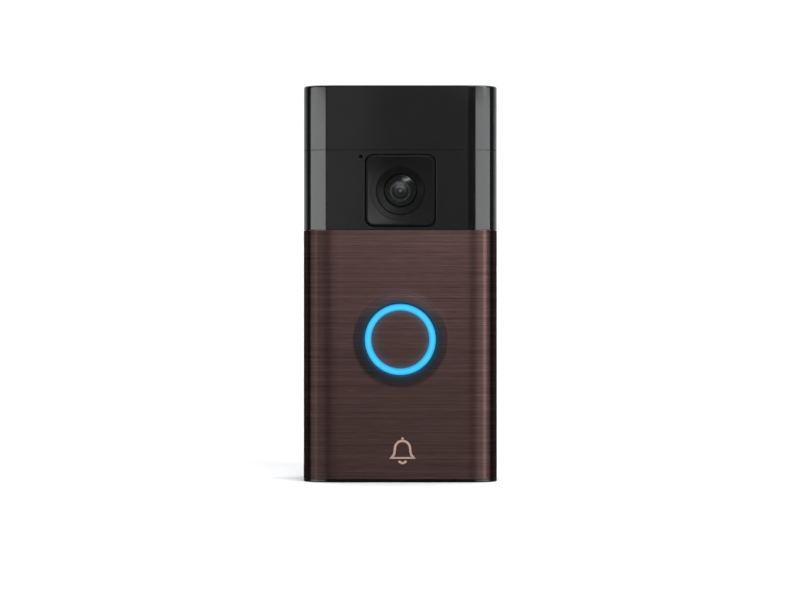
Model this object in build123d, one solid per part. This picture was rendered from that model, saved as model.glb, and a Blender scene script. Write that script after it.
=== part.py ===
"""Battery video doorbell on its wall bracket.

Millimetres. The origin is the centre of the bracket's back face, on the wall.
+X is to the right seen from the front, +Y points into the wall and +Z is up.
The front of the doorbell faces -Y.
"""

import os
from math import cos, radians, sin

from build123d import *

# ---------------------------------------------------------------- outer shape
WIDTH = 62.0
HEIGHT = 126.5
FRONT_Y = -27.5
BOTTOM = -HEIGHT / 2
TOP = HEIGHT / 2

# Each front corner in plan is a wide arc followed by a tight one, both tangent.
FRONT_RADIUS = 25.5
SIDE_RADIUS = 6.2
FRONT_TURN = radians(15)
FLAT_HALF = WIDTH / 2 - SIDE_RADIUS - (FRONT_RADIUS - SIDE_RADIUS) * sin(FRONT_TURN)

SKIN_BACK_Y = -9.5
LIP_THICKNESS = 0.9
PLATE_BOTTOM = BOTTOM + 1.05
PLATE_TOP = BOTTOM + 80.28
CAMERA_COVER_BOTTOM = BOTTOM + 80.43
CAMERA_COVER_TOP = BOTTOM + 105.84
WINDOW_BOTTOM = BOTTOM + 105.9
TOP_EDGE_ROUND = 0.7
SEAM_EDGE_ROUND = 0.06
LIP_EDGE_ROUND = 0.3

# ---------------------------------------------------------------- shells
PLATE_THICKNESS = 1.5
COVER_THICKNESS = 1.8
HOUSING_WALL = 2.0
HOUSING_INSET = COVER_THICKNESS
HOUSING_FRONT_Y = FRONT_Y + HOUSING_INSET
HOUSING_INNER_Y = HOUSING_FRONT_Y + HOUSING_WALL
HOUSING_BACK_Y = SKIN_BACK_Y
HOUSING_FLOOR = BOTTOM + LIP_THICKNESS + HOUSING_WALL
HOUSING_ROOF = TOP - COVER_THICKNESS - HOUSING_WALL

GASKET_THICKNESS = 0.4
GASKET_WIDTH = 1.4
REAR_INSET = 0.4
REAR_FRONT_Y = HOUSING_BACK_Y + GASKET_THICKNESS
REAR_BACK_Y = -0.5
REAR_WALL = 1.8
REAR_CORNER = 1.2
REAR_EDGE_ROUND = 1.0

# ---------------------------------------------------------------- wall bracket and its recess
RECESS_HALF = 24.0
RECESS_BOTTOM = BOTTOM + 14.0
RECESS_TOP = BOTTOM + 112.0
RECESS_FLOOR_Y = -5.0
RECESS_INNER_Y = RECESS_FLOOR_Y - REAR_WALL
LIFT_TRAVEL = 8.0
BRACKET_GAP = 0.3
BRACKET_HALF = RECESS_HALF - 3.0
BRACKET_TOP = RECESS_TOP - BRACKET_GAP
BRACKET_BOTTOM = RECESS_BOTTOM + LIFT_TRAVEL + BRACKET_GAP
BRACKET_THICKNESS = 2.5
BRACKET_CORNER = 3.0
WALL_HOLE_RADIUS = 2.2
WALL_HOLE_SPACING_X = 30.0
WALL_HOLE_SPACING_Z = 72.0
WALL_HOLE_CENTRE_Z = (BRACKET_TOP + BRACKET_BOTTOM) / 2
WIRE_WINDOW_HALF = 15.0
WIRE_WINDOW_BOTTOM = BOTTOM + 66.0
WIRE_WINDOW_TOP = BOTTOM + 91.0
HOOK_LENGTH = 7.0
HOOK_ROOT = 3.0
HOOK_HEIGHTS = (BOTTOM + 36.0, BOTTOM + 96.0)
HOOK_FRONT_Y = -4.3
HOOK_BACK_Y = -2.6
LEDGE_FRONT_Y = -2.3
LEDGE_REACH = 2.4

# ---------------------------------------------------------------- camera
CAMERA_Z = BOTTOM + 92.9
BEZEL_WIDTH = 22.9
BEZEL_HEIGHT = 23.3
BEZEL_CORNER = 3.0
BEZEL_GROOVE = 0.5
BEZEL_RIM = 0.6
BEZEL_EDGE_ROUND = 0.12
OPENING_EDGE_ROUND = 0.06
PANEL_DEPTH = 0.25
PANEL_DISH = 160.0
PANEL_LINE_RADIUS = 9.5
PANEL_LINE_WIDTH = 0.16
BEZEL_BACK_Y = -25.9
SURROUND_OUTER = 7.75
SURROUND_INNER = 5.3
SURROUND_FLANGE = 0.4
SURROUND_RIM = 0.35
SURROUND_FRONT_Y = -27.2
SURROUND_CONE_Y = -26.1
SURROUND_BACK_Y = -25.3
GLASS_RADIUS = 5.22
GLASS_EDGE_Y = -25.85
GLASS_CROWN_Y = -27.45
GLASS_BACK_Y = -25.3
BARREL_OUTER = 6.2
BARREL_BORE = 4.6
BARREL_MOUTH = 3.1
BARREL_LIP_DEPTH = 0.7
BARREL_SHOULDER = 1.3
BARREL_FRONT_Y = -25.2
BARREL_BACK_Y = -17.6
ELEMENT_RADIUS = 4.5
ELEMENT_EDGE = 1.0
ELEMENTS = ((-22.8, 11.0), (-19.6, 14.0))  # middle of each element along Y, radius of its faces
SENSOR_WIDTH = 7.2
SENSOR_HEIGHT = 5.6
SEAT_SIZE = 14.0
SEAT_OPENING = 9.0
LENS_HOLE_RADIUS = 8.4
CAMERA_BOARD_Y = -16.6
CAMERA_BOARD_THICKNESS = 0.8
CAMERA_BOARD_SIZE = 17.0
IR_LED_RADIUS = 1.25
IR_LED_OFFSET_X = 8.3
IR_LED_OFFSET_Z = 8.4
IR_LED_TIP_Y = -24.2
IR_BOARD_Y = -22.6
IR_BOARD_SIZE = 21.0
IR_BOARD_THICKNESS = 0.8
MIC_X = -12.6
MIC_Z = BOTTOM + 103.7
MIC_HOLE_RADIUS = 0.6
MIC_WIDTH = 4.0
MIC_HEIGHT = 3.0
MIC_THICKNESS = 1.1
MEMBRANE_RADIUS = 1.5
MEMBRANE_THICKNESS = 0.2

# ---------------------------------------------------------------- motion sensing
MOTION_Z = BOTTOM + 114.5
MOTION_OPENING_WIDTH = 40.0
MOTION_OPENING_HEIGHT = 12.0
MOTION_SENSOR_RADIUS = 4.1
MOTION_SENSOR_X = 11.0
MOTION_SENSOR_LENGTH = 4.2
MOTION_SENSOR_FLANGE = 0.5
MOTION_BOARD_Y = -18.2
MOTION_BOARD_WIDTH = 42.0
MOTION_BOARD_HEIGHT = 12.0
MOTION_BOARD_THICKNESS = 0.8

# ---------------------------------------------------------------- call button
BUTTON_Z = BOTTOM + 45.5
COLLAR_BASE = 17.5
COLLAR_FOOT = 15.1
COLLAR_CREST = 11.75
COLLAR_PEAK_Y = -28.01
COLLAR_HOLE = 11.5
COLLAR_ROUNDS = (0, 0, 9.0, 0.4, 0.1, 0)
BUTTON_TRAVEL = 0.8
CAP_RADIUS = 9.22
CAP_FRONT_Y = -27.5
CAP_BACK_Y = -26.3
DIFFUSER_INNER = 9.27
DIFFUSER_OUTER = 11.35
DIFFUSER_FRONT_Y = -27.6
CARRIER_BACK_Y = -24.9
CARRIER_RADIUS = 9.1
DIFFUSER_BACK_Y = -24.6
WELL_RADIUS = 12.7
WELL_WALL = 1.2
WELL_FLOOR_Y = -23.4
WELL_FLOOR_BACK_Y = -22.2
LIGHT_HOLE_RADIUS = 1.3
LIGHT_COUNT = 12
LIGHT_CIRCLE = 10.3
LEG_COUNT = 3
LEG_CIRCLE = 6.9
LEG_RADIUS = 1.0
LEG_HOLE_RADIUS = 1.06
LEG_HEAD_RADIUS = 1.5
LEG_HEAD_LENGTH = 0.7
BUTTON_BOARD_FRONT_Y = -21.6
BUTTON_BOARD_THICKNESS = 0.8
BUTTON_BOARD_WIDTH = 36.0
BUTTON_BOARD_HEIGHT = 30.0
SWITCH_SIZE = 6.0
SWITCH_FRONT_Y = -23.2
SWITCH_BORE = 1.0
SWITCH_HOLE_RADIUS = 4.6
PLUNGER_RADIUS = 1.6
PLUNGER_TIP_Y = -23.9
PLUNGER_TRAVEL = 0.25
PUSHER_GAP = 0.6
PUSHER_RADIUS = 1.8

LED_SIZE = 1.6

# ---------------------------------------------------------------- faceplate posts
POST_X = 23.0
POST_HEIGHTS = (BOTTOM + 13.0, BOTTOM + 73.0)
POST_RADIUS = 1.4
SOCKET_RADIUS = 1.46
POST_END_Y = -19.6
SOCKET_BOSS_RADIUS = 2.7
SOCKET_END_Y = -19.2

# ---------------------------------------------------------------- boards, battery and connectors
MAIN_BOARD_Y = -13.0
MAIN_BOARD_THICKNESS = 1.0
MAIN_BOARD_HALF = 23.5
MAIN_BOARD_BOTTOM = BOTTOM + 68.0
MAIN_BOARD_TOP = BOTTOM + 120.0
MAIN_BOARD_BACK_Y = MAIN_BOARD_Y + MAIN_BOARD_THICKNESS
BATTERY_HALF = 25.0
BATTERY_BOTTOM = BOTTOM + 22.0
BATTERY_TOP = BOTTOM + 64.0
BATTERY_FRONT_Y = -19.8
BATTERY_BACK_Y = -9.8
BATTERY_PAD_WIDTH = 40.0
BATTERY_PAD_HEIGHT = 30.0
BATTERY_LEAD_RADIUS = 0.55
BATTERY_LEAD_PLACES = (10.6, 13.4)
CONNECTOR_DEPTH = 2.2
SHIELD_Z = BOTTOM + 107.0
SHIELD_WIDTH = 26.0
SHIELD_HEIGHT = 16.0
SHIELD_DEPTH = 2.4
SHIELD_SHEET = 0.3
CHIP_THICKNESS = 1.2
CHIPS = (  # X, height above the bottom, width and height of each chip
    (-6.0, 107.0, 9.0, 9.0),
    (6.5, 107.0, 7.0, 7.0),
    (-14.0, 92.0, 6.0, 5.0),
    (13.0, 93.0, 8.0, 6.0),
)
ANTENNA_HALF = 13.0
ANTENNA_Y = (-18.0, -10.5)
ANTENNA_SLIT_Y = (-15.6, -14.2)
LABEL_Z = BOTTOM + 99.0
LABEL_WIDTH = 26.0
LABEL_HEIGHT = 13.0
LABEL_THICKNESS = 0.12
FLEX_HALF = 4.0
FLEX_THICKNESS = 0.2
USB_X = -7.0
USB_Z = BOTTOM + 84.0
USB_WIDTH = 8.6
USB_HEIGHT = 3.6
USB_SHELL = 0.4
SETUP_X = 8.0
SETUP_Z = BOTTOM + 84.0
SETUP_TRAVEL = 0.4
SETUP_CAP_RADIUS = 2.5
SETUP_HOLE_RADIUS = 2.56
SETUP_SWITCH_BACK_Y = -9.4
SETUP_PLUNGER_TIP_Y = -8.75
SETUP_STEM_GAP = 0.2
SETUP_SWITCH_SIZE = 5.0
SETUP_PLUNGER_RADIUS = 1.0
TERMINAL_X = 6.5
TERMINAL_Z = BOTTOM + 71.5
TERMINAL_POCKET_FLOOR_Y = -7.2
TERMINAL_POCKET_INNER_Y = -9.0
TERMINAL_POCKET_HALF = (12.0, 4.8)
TERMINAL_POCKET_OUTER = (13.5, 6.2)
TERMINAL_PLATE_THICKNESS = 0.6
TERMINAL_SCREW_RADIUS = 1.25
TERMINAL_SCREW_HEAD = 3.0

# ---------------------------------------------------------------- speaker
SPEAKER_HALF = 17.0
SPEAKER_FRONT_Y = -21.0
SPEAKER_BACK_Y = -11.0
SPEAKER_MIDDLE_Y = (SPEAKER_FRONT_Y + SPEAKER_BACK_Y) / 2
SPEAKER_WALL = 1.0
SPEAKER_FOOT = HOUSING_FLOOR + 2.6
SPEAKER_TOP = HOUSING_FLOOR + 9.6
CONE_Z = HOUSING_FLOOR + 3.2
CONE_THICKNESS = 0.5
SPEAKER_SLOTS = 8
SPEAKER_SLOT_PITCH = 3.2
SPEAKER_SLOT_HALF = 0.6

# ---------------------------------------------------------------- screws
CASE_SCREW_X = 25.0
CASE_SCREW_HEIGHTS = (BOTTOM + 6.6, BOTTOM + 119.4)
CASE_SCREW_RADIUS = 1.2
CASE_SCREW_HEAD = 2.2
CASE_SCREW_HEAD_LENGTH = 1.4
CASE_SCREW_SEAT_Y = -2.2
CASE_SCREW_END_Y = -17.0
BOARD_SCREW_RADIUS = 0.9
BOARD_SCREW_HEAD = 1.7
BOARD_SCREW_HEAD_LENGTH = 0.7
BOARD_SCREW_LENGTH = 2.6
MAIN_BOARD_SCREWS = [(x, BOTTOM + h) for x in (-20.5, 20.5) for h in (79.5, 102.0)]
BUTTON_BOARD_SCREWS = [(x, BUTTON_Z + dz) for x in (-15.5, 15.5) for dz in (-12.5, 12.5)]
SECURITY_SCREW_X = 16.0
SECURITY_SCREW_Y = -3.3
SECURITY_SCREW_RADIUS = 1.5
SECURITY_SCREW_LENGTH = 8.0
SECURITY_SOCKET_RADIUS = 0.85
SCREW_CLEARANCE = 0.05

# ---------------------------------------------------------------- drawing allowances
PAST = 1.0  # how far a cutting shape runs beyond the faces it cuts
ROOT = 0.5  # how far a boss runs into the wall it grows from
NEAR = 0.01  # tolerance for picking edges by place


# ================================================================ drawing helpers
def box_between(x, y, z):
    """Block from the low to the high value of each of x, y and z."""
    middle = [(low + high) / 2 for low, high in (x, y, z)]
    size = [high - low for low, high in (x, y, z)]
    return Pos(*middle) * Box(*size)


def rod_y(x, z, radius, y_low, y_high):
    """Round bar along Y."""
    return Pos(x, (y_low + y_high) / 2, z) * Rot(90, 0, 0) * Cylinder(radius, y_high - y_low)


def tube_y(x, z, outer, inner, y_low, y_high):
    """Round tube along Y."""
    return rod_y(x, z, outer, y_low, y_high) - rod_y(x, z, inner, y_low - PAST, y_high + PAST)


def rod_z(x, y, radius, z_low, z_high):
    """Round bar along Z."""
    return Pos(x, y, (z_low + z_high) / 2) * Cylinder(radius, z_high - z_low)


def slab_y(x, z, width, height, corner, y_low, y_high):
    """Rounded rectangle seen from the front, as thick as y_low to y_high."""
    outline = RectangleRounded(width, height, corner)
    slab = extrude(outline, amount=(y_high - y_low) / 2, both=True)
    return Pos(x, (y_low + y_high) / 2, z) * Rot(90, 0, 0) * slab


def turned_y(z, outline):
    """Solid of revolution about the Y line at height z: outline is (radius, y) points."""
    section = make_face(Polyline(*outline, close=True))
    return Pos(0, 0, z) * revolve(section, Axis.Y)


def plan_section(inset, back_y):
    """Plan section of the body, drawn inset inside the outer skin and cut square at back_y."""
    wide = FRONT_RADIUS - inset
    tight = SIDE_RADIUS - inset
    step = FRONT_RADIUS - SIDE_RADIUS
    wide_centre = (FLAT_HALF, FRONT_Y + FRONT_RADIUS)
    tight_centre = (wide_centre[0] + step * sin(FRONT_TURN), wide_centre[1] - step * cos(FRONT_TURN))

    def on_arc(centre, radius, turn):
        return centre[0] + radius * sin(turn), centre[1] - radius * cos(turn)

    front = on_arc(wide_centre, wide, 0)
    join = on_arc(wide_centre, wide, FRONT_TURN)
    side = on_arc(tight_centre, tight, radians(90))
    half = Line((0, front[1]), front)
    half += ThreePointArc(front, on_arc(wide_centre, wide, FRONT_TURN / 2), join)
    half += ThreePointArc(join, on_arc(tight_centre, tight, (FRONT_TURN + radians(90)) / 2), side)
    half += Line(side, (side[0], back_y))
    half += Line((side[0], back_y), (0, back_y))
    return make_face(half + mirror(half, Plane.YZ))


def plan_prism(inset, back_y, z_low, z_high):
    """The plan section carried up from z_low to z_high."""
    return extrude(Pos(0, 0, z_low) * plan_section(inset, back_y), amount=z_high - z_low, dir=(0, 0, 1))


def rounded_prism(z_low, z_high, low_round, high_round):
    """Outer skin between two heights, its front and side edges rounded at the bottom and the top."""
    skin = plan_prism(0, SKIN_BACK_Y, z_low, z_high)
    for place, size in ((0, low_round), (-1, high_round)):
        rim = skin.faces().sort_by(Axis.Z)[place].edges()
        skin = fillet(rim.filter_by(lambda edge: edge.center().Y < SKIN_BACK_Y - NEAR), size)
    return skin


def circle_places(count, radius, start=90.0):
    """X and Z offsets of count equal places round a circle."""
    turns = [radians(start + 360 * i / count) for i in range(count)]
    return [(radius * cos(turn), radius * sin(turn)) for turn in turns]


def grouped(solids):
    """Separate solids of one node."""
    return Compound(children=list(solids))


# ================================================================ outer pieces
def faceplate():
    shell = rounded_prism(PLATE_BOTTOM, PLATE_TOP, SEAM_EDGE_ROUND, SEAM_EDGE_ROUND)
    shell -= plan_prism(PLATE_THICKNESS, SKIN_BACK_Y + PAST, PLATE_BOTTOM - PAST, PLATE_TOP + PAST)
    back_y = FRONT_Y + PLATE_THICKNESS
    shell -= rod_y(0, BUTTON_Z, COLLAR_BASE, FRONT_Y - PAST, back_y + PAST)
    crown = FilletPolyline(
        (COLLAR_BASE, back_y),
        (COLLAR_BASE, FRONT_Y),
        (COLLAR_FOOT, FRONT_Y),
        (COLLAR_CREST, COLLAR_PEAK_Y),
        (COLLAR_HOLE, COLLAR_PEAK_Y + 0.2),
        (COLLAR_HOLE, back_y),
        radius=COLLAR_ROUNDS,
        close=True,
    )
    plate = shell + Pos(0, 0, BUTTON_Z) * revolve(make_face(crown), Axis.Y)
    for x in (-POST_X, POST_X):
        for z in POST_HEIGHTS:
            plate += rod_y(x, z, POST_RADIUS, back_y - 0.2, POST_END_Y)
    return plate


def camera_cover():
    cover = rounded_prism(CAMERA_COVER_BOTTOM, CAMERA_COVER_TOP, SEAM_EDGE_ROUND, SEAM_EDGE_ROUND)
    hollow_z = (CAMERA_COVER_BOTTOM - PAST, CAMERA_COVER_TOP + PAST)
    through = (FRONT_Y - PAST, HOUSING_FRONT_Y + PAST)
    cover -= plan_prism(COVER_THICKNESS, SKIN_BACK_Y + PAST, *hollow_z)
    cover -= slab_y(0, CAMERA_Z, BEZEL_WIDTH, BEZEL_HEIGHT, BEZEL_CORNER, *through)
    cover = fillet(cover.edges().filter_by(on_opening_rim), OPENING_EDGE_ROUND)
    return cover - rod_y(MIC_X, MIC_Z, MIC_HOLE_RADIUS, *through)


def on_opening_rim(edge):
    """True for the front edges of the camera opening."""
    middle = edge.center()
    across = abs(middle.X) < BEZEL_WIDTH / 2 + NEAR
    up = abs(middle.Z - CAMERA_Z) < BEZEL_HEIGHT / 2 + NEAR
    return across and up and abs(middle.Y - FRONT_Y) < NEAR


def motion_window():
    cap = rounded_prism(WINDOW_BOTTOM, TOP, SEAM_EDGE_ROUND, TOP_EDGE_ROUND)
    hollow_z = (WINDOW_BOTTOM - PAST, TOP - COVER_THICKNESS)
    return cap - plan_prism(COVER_THICKNESS, SKIN_BACK_Y + PAST, *hollow_z)


def front_housing():
    body = plan_prism(HOUSING_INSET, HOUSING_BACK_Y, BOTTOM + LIP_THICKNESS, TOP - COVER_THICKNESS)
    body += rounded_prism(BOTTOM, BOTTOM + LIP_THICKNESS, LIP_EDGE_ROUND, SEAM_EDGE_ROUND)
    body -= plan_prism(HOUSING_INSET + HOUSING_WALL, HOUSING_BACK_Y + PAST, HOUSING_FLOOR, HOUSING_ROOF)
    room = plan_prism(HOUSING_INSET + HOUSING_WALL / 2, HOUSING_BACK_Y, HOUSING_FLOOR, HOUSING_ROOF)
    for x, z, radius, end_y in housing_bosses():
        body += rod_y(x, z, radius, HOUSING_INNER_Y - ROOT, end_y) & room
    for opening in housing_openings():
        body -= opening
    return body


def housing_bosses():
    """Place, radius and far end of each boss on the inside of the front wall."""
    bosses = [(x, z, SOCKET_BOSS_RADIUS, SOCKET_END_Y) for x, z in post_places()]
    bosses += [(x, z, CASE_SCREW_HEAD + 0.4, HOUSING_BACK_Y) for x, z in case_screw_places()]
    bosses += [(x, z, BOARD_SCREW_HEAD + 0.3, MAIN_BOARD_Y) for x, z in MAIN_BOARD_SCREWS]
    bosses += [(x, z, BOARD_SCREW_HEAD, BUTTON_BOARD_FRONT_Y) for x, z in BUTTON_BOARD_SCREWS]
    return bosses + [(0, BUTTON_Z, WELL_RADIUS + WELL_WALL, WELL_FLOOR_BACK_Y)]


def post_places():
    return [(x, z) for x in (-POST_X, POST_X) for z in POST_HEIGHTS]


def case_screw_places():
    return [(x, z) for x in (-CASE_SCREW_X, CASE_SCREW_X) for z in CASE_SCREW_HEIGHTS]


def button_leg_places():
    return [(x, BUTTON_Z + z) for x, z in circle_places(LEG_COUNT, LEG_CIRCLE)]


def light_places():
    return [(x, BUTTON_Z + z) for x, z in circle_places(LIGHT_COUNT, LIGHT_CIRCLE, start=75.0)]


def ir_led_places():
    heights = (CAMERA_Z - IR_LED_OFFSET_Z, CAMERA_Z + IR_LED_OFFSET_Z)
    return [(x, z) for x in (-IR_LED_OFFSET_X, IR_LED_OFFSET_X) for z in heights]


def speaker_slot_places():
    middle = (SPEAKER_SLOTS - 1) / 2
    return [(i - middle) * SPEAKER_SLOT_PITCH for i in range(SPEAKER_SLOTS)]


def housing_openings():
    """Holes and pockets of the front housing, from the front wall to the floor slots."""
    through = (HOUSING_FRONT_Y - PAST, HOUSING_INNER_Y + 3)
    holes = [rod_y(0, CAMERA_Z, LENS_HOLE_RADIUS, *through)]
    holes += [rod_y(x, z, IR_LED_RADIUS + 0.25, *through) for x, z in ir_led_places()]
    holes.append(rod_y(MIC_X, MIC_Z, MIC_HOLE_RADIUS, *through))
    seat_end_y = HOUSING_FRONT_Y + MEMBRANE_THICKNESS + 0.1
    holes.append(rod_y(MIC_X, MIC_Z, MEMBRANE_RADIUS + 0.1, HOUSING_FRONT_Y - PAST, seat_end_y))
    holes.append(slab_y(0, MOTION_Z, MOTION_OPENING_WIDTH, MOTION_OPENING_HEIGHT, 2, *through))
    holes.append(rod_y(0, BUTTON_Z, WELL_RADIUS, HOUSING_FRONT_Y - PAST, WELL_FLOOR_Y))
    floor = (WELL_FLOOR_Y - PAST / 2, WELL_FLOOR_BACK_Y + PAST / 2)
    holes.append(rod_y(0, BUTTON_Z, SWITCH_HOLE_RADIUS, *floor))
    holes += [rod_y(x, z, LEG_HOLE_RADIUS, *floor) for x, z in button_leg_places()]
    holes += [rod_y(x, z, LIGHT_HOLE_RADIUS, *floor) for x, z in light_places()]
    socket = (SOCKET_RADIUS, HOUSING_FRONT_Y - PAST, SOCKET_END_Y + PAST)
    holes += [rod_y(x, z, *socket) for x, z in post_places()]
    screw_hole = (CASE_SCREW_RADIUS + SCREW_CLEARANCE, CASE_SCREW_END_Y - PAST, HOUSING_BACK_Y + PAST)
    holes += [rod_y(x, z, *screw_hole) for x, z in case_screw_places()]
    pilot = BOARD_SCREW_RADIUS + SCREW_CLEARANCE
    main_pilot = (MAIN_BOARD_Y - 3, MAIN_BOARD_Y + PAST)
    button_pilot = (HOUSING_INNER_Y - 0.8, BUTTON_BOARD_FRONT_Y + PAST)
    holes += [rod_y(x, z, pilot, *main_pilot) for x, z in MAIN_BOARD_SCREWS]
    holes += [rod_y(x, z, pilot, *button_pilot) for x, z in BUTTON_BOARD_SCREWS]
    slot_y = (SPEAKER_FRONT_Y + SPEAKER_WALL, SPEAKER_BACK_Y - SPEAKER_WALL)
    slot_z = (BOTTOM - PAST, HOUSING_FLOOR + PAST)
    for x in speaker_slot_places():
        holes.append(box_between((x - SPEAKER_SLOT_HALF, x + SPEAKER_SLOT_HALF), slot_y, slot_z))
    return holes


def housing_gasket():
    width = WIDTH - 2 * HOUSING_INSET - 0.4
    height = HEIGHT - 5.0
    cut = (HOUSING_BACK_Y - PAST, REAR_FRONT_Y + PAST)
    ring = slab_y(0, 0, width, height, 3, HOUSING_BACK_Y, REAR_FRONT_Y)
    ring -= slab_y(0, 0, width - 2 * GASKET_WIDTH, height - 2 * GASKET_WIDTH, 2, *cut)
    for x, z in case_screw_places():
        ring -= rod_y(x, z, CASE_SCREW_RADIUS + 0.3, *cut)
    return ring


def rear_housing():
    width = WIDTH - 2 * REAR_INSET
    height = HEIGHT - 2 * REAR_INSET
    tray = slab_y(0, 0, width, height, REAR_CORNER, REAR_FRONT_Y, REAR_BACK_Y)
    tray = fillet(tray.faces().sort_by(Axis.Y)[-1].edges(), REAR_EDGE_ROUND)
    hollow_width = width - 2 * REAR_WALL - 0.8
    hollow_height = height - 2 * REAR_WALL - 0.8
    tray -= slab_y(0, 0, hollow_width, hollow_height, 2, REAR_FRONT_Y - PAST, REAR_BACK_Y - REAR_WALL)
    middle_z = (RECESS_BOTTOM + RECESS_TOP) / 2
    size = (2 * RECESS_HALF, RECESS_TOP - RECESS_BOTTOM)
    outer = (size[0] + 2 * REAR_WALL, size[1] + 2 * REAR_WALL, 3)
    tray += slab_y(0, middle_z, *outer, RECESS_INNER_Y, REAR_BACK_Y)
    tray += terminal_block(TERMINAL_POCKET_OUTER, TERMINAL_POCKET_INNER_Y, RECESS_INNER_Y + ROOT)
    for x, z in case_screw_places():
        tray += rod_y(x, z, CASE_SCREW_HEAD + 0.6, REAR_FRONT_Y, REAR_BACK_Y - 0.2)
    for x in (-SECURITY_SCREW_X, SECURITY_SCREW_X):
        tray += rod_z(x, SECURITY_SCREW_Y, 2.4, BOTTOM + REAR_INSET + REAR_CORNER, RECESS_BOTTOM)
    tray -= slab_y(0, middle_z, *size, 2, RECESS_FLOOR_Y, 1)
    for ledge in recess_ledges():
        tray += ledge
    for opening in rear_openings():
        tray -= opening
    return tray


def terminal_block(half, y_low, y_high):
    """Block round the middle of the wire terminals, from its half width and half height."""
    return box_between((-half[0], half[0]), (y_low, y_high), (TERMINAL_Z - half[1], TERMINAL_Z + half[1]))


def recess_ledges():
    """Four ledges on the recess sides, between the wall and the bracket's hooks."""
    ledges = []
    for z in HOOK_HEIGHTS:
        for side in (-1, 1):
            x = sorted((side * (RECESS_HALF + ROOT), side * (RECESS_HALF - LEDGE_REACH)))
            ledges.append(box_between(x, (LEDGE_FRONT_Y, REAR_BACK_Y - 0.3), (z, z + HOOK_LENGTH)))
    return ledges


def rear_openings():
    """Terminal pocket, port, button and screw holes of the rear housing."""
    through = (RECESS_INNER_Y - PAST, RECESS_FLOOR_Y + PAST)
    holes = [terminal_block(TERMINAL_POCKET_HALF, TERMINAL_POCKET_FLOOR_Y, RECESS_FLOOR_Y + PAST)]
    holes.append(slab_y(USB_X, USB_Z, USB_WIDTH + 0.4, USB_HEIGHT + 0.6, 1.4, *through))
    holes.append(rod_y(SETUP_X, SETUP_Z, SETUP_HOLE_RADIUS, *through))
    for x in (-TERMINAL_X, TERMINAL_X):
        wide = TERMINAL_SCREW_RADIUS + SCREW_CLEARANCE
        holes.append(rod_y(x, TERMINAL_Z, wide, TERMINAL_POCKET_INNER_Y - PAST, RECESS_FLOOR_Y))
    for x, z in case_screw_places():
        wide = CASE_SCREW_RADIUS + SCREW_CLEARANCE
        holes.append(rod_y(x, z, wide, REAR_FRONT_Y - PAST, REAR_BACK_Y + PAST))
        holes.append(rod_y(x, z, CASE_SCREW_HEAD + 0.1, CASE_SCREW_SEAT_Y, REAR_BACK_Y + PAST))
    for x in (-SECURITY_SCREW_X, SECURITY_SCREW_X):
        wide = SECURITY_SCREW_RADIUS + SCREW_CLEARANCE
        holes.append(rod_z(x, SECURITY_SCREW_Y, wide, BOTTOM - PAST, RECESS_BOTTOM + PAST))
    return holes


def rating_label():
    label_y = (RECESS_FLOOR_Y, RECESS_FLOOR_Y + LABEL_THICKNESS)
    return slab_y(0, LABEL_Z, LABEL_WIDTH, LABEL_HEIGHT, 1, *label_y)


# ================================================================ wall bracket
def mounting_bracket():
    middle_z = (BRACKET_TOP + BRACKET_BOTTOM) / 2
    size = (2 * BRACKET_HALF, BRACKET_TOP - BRACKET_BOTTOM, BRACKET_CORNER)
    cut = (-BRACKET_THICKNESS - PAST, PAST)
    plate = slab_y(0, middle_z, *size, -BRACKET_THICKNESS, 0)
    window_z = (WIRE_WINDOW_BOTTOM + WIRE_WINDOW_TOP) / 2
    window_height = WIRE_WINDOW_TOP - WIRE_WINDOW_BOTTOM
    plate -= slab_y(0, window_z, 2 * WIRE_WINDOW_HALF, window_height, 2.5, *cut)
    for x in (-WALL_HOLE_SPACING_X / 2, WALL_HOLE_SPACING_X / 2):
        for dz in (-WALL_HOLE_SPACING_Z / 2, WALL_HOLE_SPACING_Z / 2):
            plate -= rod_y(x, WALL_HOLE_CENTRE_Z + dz, WALL_HOLE_RADIUS, *cut)
    for z in HOOK_HEIGHTS:
        for side in (-1, 1):
            inner_x = side * (BRACKET_HALF - HOOK_ROOT)
            root_x = sorted((inner_x, side * (BRACKET_HALF - 0.4)))
            hook_x = sorted((inner_x, side * (RECESS_HALF - 0.5)))
            plate += box_between(root_x, (HOOK_BACK_Y, 0.3 - BRACKET_THICKNESS), (z, z + HOOK_LENGTH))
            plate += box_between(hook_x, (HOOK_FRONT_Y, HOOK_BACK_Y), (z, z + HOOK_LENGTH))
    return plate


# ================================================================ camera
def camera_bezel():
    width = BEZEL_WIDTH - 2 * BEZEL_GROOVE
    height = BEZEL_HEIGHT - 2 * BEZEL_GROOVE
    frame = slab_y(0, CAMERA_Z, width, height, BEZEL_CORNER - BEZEL_GROOVE, FRONT_Y, BEZEL_BACK_Y)
    frame = fillet(frame.faces().sort_by(Axis.Y)[0].edges(), BEZEL_EDGE_ROUND)
    panel = (width - 2 * BEZEL_RIM, height - 2 * BEZEL_RIM, BEZEL_CORNER - BEZEL_GROOVE - 0.6)
    corner = (panel[0] ** 2 + panel[1] ** 2) ** 0.5 / 2
    dish_depth = PANEL_DISH - (PANEL_DISH**2 - corner**2) ** 0.5
    dish = Pos(0, FRONT_Y + PANEL_DEPTH + dish_depth - PANEL_DISH, CAMERA_Z) * Sphere(PANEL_DISH)
    frame -= slab_y(0, CAMERA_Z, *panel, FRONT_Y - PAST, FRONT_Y + PAST) & dish
    line = (PANEL_LINE_RADIUS + PANEL_LINE_WIDTH / 2, PANEL_LINE_RADIUS - PANEL_LINE_WIDTH / 2)
    frame -= tube_y(0, CAMERA_Z, *line, FRONT_Y, FRONT_Y + PANEL_DEPTH + dish_depth)
    return frame - rod_y(0, CAMERA_Z, SURROUND_OUTER + 0.05, FRONT_Y - PAST, BEZEL_BACK_Y + PAST)


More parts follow.
